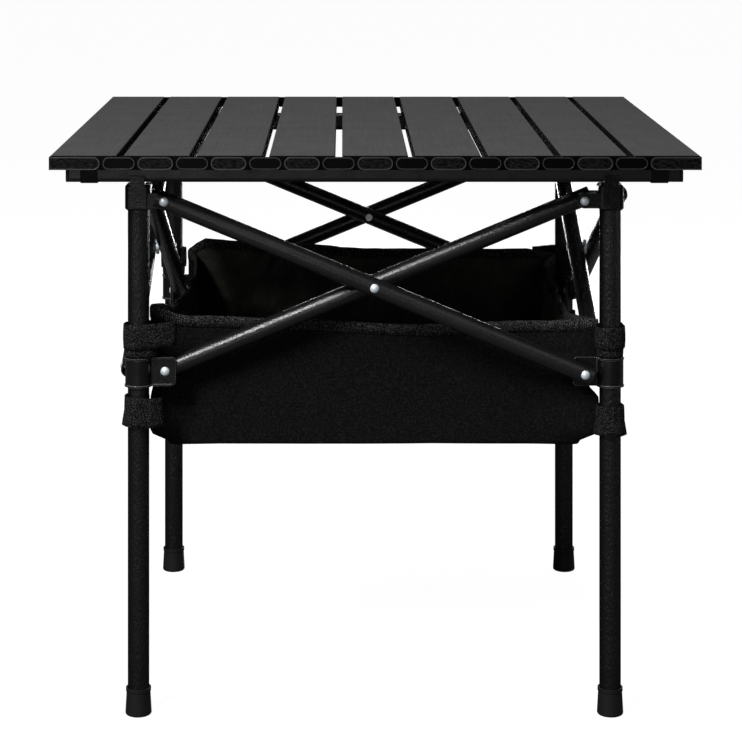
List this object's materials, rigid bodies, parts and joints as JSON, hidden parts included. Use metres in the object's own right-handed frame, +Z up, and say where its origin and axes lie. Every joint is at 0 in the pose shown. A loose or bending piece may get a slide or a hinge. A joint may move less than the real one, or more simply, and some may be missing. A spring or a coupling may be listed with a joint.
{
  "type": "folding camp kitchen table",
  "caption": "Low square roll-top camp table: dark aluminium slats on two rails, legs joined by scissor bars with sliding collars, and an open fabric storage bag hung inside the frame.",
  "frame": {"origin": "on the floor under the middle of the table", "axes": "+X along the row of slats, to the right seen from the front; +Y along each slat, to the back; +Z up"},
  "size_m": [0.56, 0.54, 0.5],
  "materials": {
    "leg_tube": "satin black powder coat",
    "bar_tube": "satin black powder coat",
    "rail_tube": "satin black powder coat",
    "slat_aluminium": "dark grey fine powder coat",
    "cap_nylon": "moulded, fine texture",
    "hub_nylon": "moulded, slightly rough",
    "foot_rubber": "matte",
    "rail_rubber": "matte",
    "collar_steel": "gloss black",
    "rivet_zinc": "bright zinc",
    "strap_webbing": "loop pile",
    "bag_fabric": "coated woven nylon"
  },
  "bodies": {
    "front_left_leg": {"front_left_leg_tube": "leg_tube", "front_left_foot": "foot_rubber", "front_left_hub": "hub_nylon"},
    "front_right_leg": {"front_right_leg_tube": "leg_tube", "front_right_foot": "foot_rubber", "front_right_hub": "hub_nylon"},
    "back_right_leg": {"back_right_leg_tube": "leg_tube", "back_right_foot": "foot_rubber", "back_right_hub": "hub_nylon"},
    "back_left_leg": {"back_left_leg_tube": "leg_tube", "back_left_foot": "foot_rubber", "back_left_hub": "hub_nylon"},
    "front_outer_bar": {"front_outer_bar": "bar_tube", "front_outer_bar_rivets": "rivet_zinc"},
    "front_inner_bar": {"front_inner_bar": "bar_tube", "front_inner_bar_rivets": "rivet_zinc"},
    "right_outer_bar": {"right_outer_bar": "bar_tube", "right_outer_bar_rivets": "rivet_zinc"},
    "right_inner_bar": {"right_inner_bar": "bar_tube", "right_inner_bar_rivets": "rivet_zinc"},
    "back_outer_bar": {"back_outer_bar": "bar_tube", "back_outer_bar_rivets": "rivet_zinc"},
    "back_inner_bar": {"back_inner_bar": "bar_tube", "back_inner_bar_rivets": "rivet_zinc"},
    "left_outer_bar": {"left_outer_bar": "bar_tube", "left_outer_bar_rivets": "rivet_zinc"},
    "left_inner_bar": {"left_inner_bar": "bar_tube", "left_inner_bar_rivets": "rivet_zinc"},
    "front_left_collar": {"front_left_collar": "collar_steel", "front_left_bag_straps": "strap_webbing", "storage_bag": "bag_fabric"},
    "front_right_collar": {"front_right_collar": "collar_steel", "front_right_bag_straps": "strap_webbing"},
    "back_right_collar": {"back_right_collar": "collar_steel", "back_right_bag_straps": "strap_webbing"},
    "back_left_collar": {"back_left_collar": "collar_steel", "back_left_bag_straps": "strap_webbing"},
    "front_rail": {"front_rail": "rail_tube", "front_rail_plugs_and_grips": "rail_rubber"},
    "back_rail": {"back_rail": "rail_tube", "back_rail_plugs_and_grips": "rail_rubber"},
    "slat_1": {"slat_1": "slat_aluminium", "slat_1_end_caps_and_links": "cap_nylon"},
    "slat_2": {"slat_2": "slat_aluminium", "slat_2_end_caps_and_links": "cap_nylon"},
    "slat_3": {"slat_3": "slat_aluminium", "slat_3_end_caps_and_links": "cap_nylon"},
    "slat_4": {"slat_4": "slat_aluminium", "slat_4_end_caps_and_links": "cap_nylon"},
    "slat_5": {"slat_5": "slat_aluminium", "slat_5_end_caps_and_links": "cap_nylon"},
    "slat_6": {"slat_6": "slat_aluminium", "slat_6_end_caps_and_links": "cap_nylon"},
    "slat_7": {"slat_7": "slat_aluminium", "slat_7_end_caps_and_links": "cap_nylon"},
    "slat_8": {"slat_8": "slat_aluminium", "slat_8_end_caps_and_links": "cap_nylon"},
    "slat_9": {"slat_9": "slat_aluminium", "slat_9_end_caps": "cap_nylon"}
  },
  "joints": [
    {"name": "fold", "type": "hinge", "parent": "front_left_leg", "child": "front_outer_bar", "pos_m": [-0.185, -0.2178, 0.4548], "axis": [0, 1, 0], "range_deg": [0, 62], "deforming": ["storage_bag", "front_left_bag_straps", "front_right_bag_straps", "back_right_bag_straps", "back_left_bag_straps"]},
    {"name": "front_crossing", "type": "hinge", "parent": "front_outer_bar", "child": "front_inner_bar", "pos_m": [0, -0.2085, 0.37881], "axis": [0, 1, 0], "range_deg": [-124, 0]},
    {"name": "front_right_leg_pivot", "type": "hinge", "parent": "front_inner_bar", "child": "front_right_leg", "pos_m": [0.185, -0.1992, 0.4548], "axis": [0, 1, 0], "range_deg": [0, 62]},
    {"name": "front_left_collar_pivot", "type": "hinge", "parent": "front_inner_bar", "child": "front_left_collar", "pos_m": [-0.185, -0.1992, 0.30281], "axis": [0, 1, 0], "range_deg": [0, 62]},
    {"name": "front_right_collar_pivot", "type": "hinge", "parent": "front_outer_bar", "child": "front_right_collar", "pos_m": [0.185, -0.2178, 0.30281], "axis": [0, 1, 0], "range_deg": [-62, 0]},
    {"name": "right_outer_bar_pivot", "type": "hinge", "parent": "front_right_leg", "child": "right_outer_bar", "pos_m": [0.2178, -0.185, 0.4548], "axis": [-1, 0, 0], "range_deg": [0, 62]},
    {"name": "right_crossing", "type": "hinge", "parent": "right_outer_bar", "child": "right_inner_bar", "pos_m": [0.2085, 0, 0.37881], "axis": [-1, 0, 0], "range_deg": [-124, 0]},
    {"name": "back_right_leg_pivot", "type": "hinge", "parent": "right_inner_bar", "child": "back_right_leg", "pos_m": [0.1992, 0.185, 0.4548], "axis": [-1, 0, 0], "range_deg": [0, 62]},
    {"name": "back_right_collar_pivot", "type": "hinge", "parent": "right_outer_bar", "child": "back_right_collar", "pos_m": [0.2178, 0.185, 0.30281], "axis": [-1, 0, 0], "range_deg": [-62, 0]},
    {"name": "left_inner_bar_pivot", "type": "hinge", "parent": "front_left_leg", "child": "left_inner_bar", "pos_m": [-0.1992, -0.185, 0.4548], "axis": [1, 0, 0], "range_deg": [-62, 0]},
    {"name": "left_crossing", "type": "hinge", "parent": "left_inner_bar", "child": "left_outer_bar", "pos_m": [-0.2085, 0, 0.37881], "axis": [1, 0, 0], "range_deg": [0, 124]},
    {"name": "back_left_leg_pivot", "type": "hinge", "parent": "left_outer_bar", "child": "back_left_leg", "pos_m": [-0.2178, 0.185, 0.4548], "axis": [1, 0, 0], "range_deg": [-62, 0]},
    {"name": "back_left_collar_pivot", "type": "hinge", "parent": "left_inner_bar", "child": "back_left_collar", "pos_m": [-0.1992, 0.185, 0.30281], "axis": [1, 0, 0], "range_deg": [0, 62]},
    {"name": "back_outer_bar_pivot", "type": "hinge", "parent": "back_right_leg", "child": "back_outer_bar", "pos_m": [0.185, 0.2178, 0.4548], "axis": [0, -1, 0], "range_deg": [0, 62]},
    {"name": "back_crossing", "type": "hinge", "parent": "back_outer_bar", "child": "back_inner_bar", "pos_m": [0, 0.2085, 0.37881], "axis": [0, -1, 0], "range_deg": [-124, 0]},
    {"name": "top_lift", "type": "slide", "parent": "front_left_leg", "child": "slat_9", "axis": [0, 0, 1], "range_m": [0, 0.12]},
    {"name": "front_rail_lift", "type": "slide", "parent": "front_left_leg", "child": "front_rail", "axis": [0, 0, 1], "range_m": [0, 0.06]},
    {"name": "back_rail_lift", "type": "slide", "parent": "back_left_leg", "child": "back_rail", "axis": [0, 0, 1], "range_m": [0, 0.06]},
    {"name": "roll", "type": "hinge", "parent": "slat_9", "child": "slat_8", "pos_m": [0.22861, 0, 0.494], "axis": [0, 1, 0], "range_deg": [0, 90]},
    {"name": "slat_7_hinge", "type": "hinge", "parent": "slat_8", "child": "slat_7", "pos_m": [0.16572, 0, 0.494], "axis": [0, 1, 0], "range_deg": [0, 30]},
    {"name": "slat_6_hinge", "type": "hinge", "parent": "slat_7", "child": "slat_6", "pos_m": [0.10283, 0, 0.494], "axis": [0, 1, 0], "range_deg": [0, 70]},
    {"name": "slat_5_hinge", "type": "hinge", "parent": "slat_6", "child": "slat_5", "pos_m": [0.03994, 0, 0.494], "axis": [0, 1, 0], "range_deg": [0, 40]},
    {"name": "slat_4_hinge", "type": "hinge", "parent": "slat_5", "child": "slat_4", "pos_m": [-0.02294, 0, 0.494], "axis": [0, 1, 0], "range_deg": [0, 100]},
    {"name": "slat_3_hinge", "type": "hinge", "parent": "slat_4", "child": "slat_3", "pos_m": [-0.08583, 0, 0.494], "axis": [0, 1, 0], "range_deg": [0, 40]},
    {"name": "slat_2_hinge", "type": "hinge", "parent": "slat_3", "child": "slat_2", "pos_m": [-0.14872, 0, 0.494], "axis": [0, 1, 0], "range_deg": [0, 105]},
    {"name": "slat_1_hinge", "type": "hinge", "parent": "slat_2", "child": "slat_1", "pos_m": [-0.21161, 0, 0.494], "axis": [0, 1, 0], "range_deg": [0, 110]}
  ],
  "couplings": [
    {"joint": "front_crossing", "follows": "fold", "ratio": -2},
    {"joint": "front_right_leg_pivot", "follows": "fold", "ratio": 1},
    {"joint": "front_left_collar_pivot", "follows": "fold", "ratio": 1},
    {"joint": "front_right_collar_pivot", "follows": "fold", "ratio": -1},
    {"joint": "right_outer_bar_pivot", "follows": "fold", "ratio": 1},
    {"joint": "right_crossing", "follows": "fold", "ratio": -2},
    {"joint": "back_right_leg_pivot", "follows": "fold", "ratio": 1},
    {"joint": "back_right_collar_pivot", "follows": "fold", "ratio": -1},
    {"joint": "left_inner_bar_pivot", "follows": "fold", "ratio": -1},
    {"joint": "left_crossing", "follows": "fold", "ratio": 2},
    {"joint": "back_left_leg_pivot", "follows": "fold", "ratio": -1},
    {"joint": "back_left_collar_pivot", "follows": "fold", "ratio": 1},
    {"joint": "back_outer_bar_pivot", "follows": "fold", "ratio": 1},
    {"joint": "back_crossing", "follows": "fold", "ratio": -2},
    {"joint": "front_rail_lift", "follows": "top_lift", "ratio": 0.5},
    {"joint": "back_rail_lift", "follows": "top_lift", "ratio": 0.5},
    {"joint": "slat_7_hinge", "follows": "roll", "ratio": 0.33333},
    {"joint": "slat_6_hinge", "follows": "roll", "ratio": 0.77778},
    {"joint": "slat_5_hinge", "follows": "roll", "ratio": 0.44444},
    {"joint": "slat_4_hinge", "follows": "roll", "ratio": 1.1111},
    {"joint": "slat_3_hinge", "follows": "roll", "ratio": 0.44444},
    {"joint": "slat_2_hinge", "follows": "roll", "ratio": 1.1667},
    {"joint": "slat_1_hinge", "follows": "roll", "ratio": 1.2222}
  ]
}
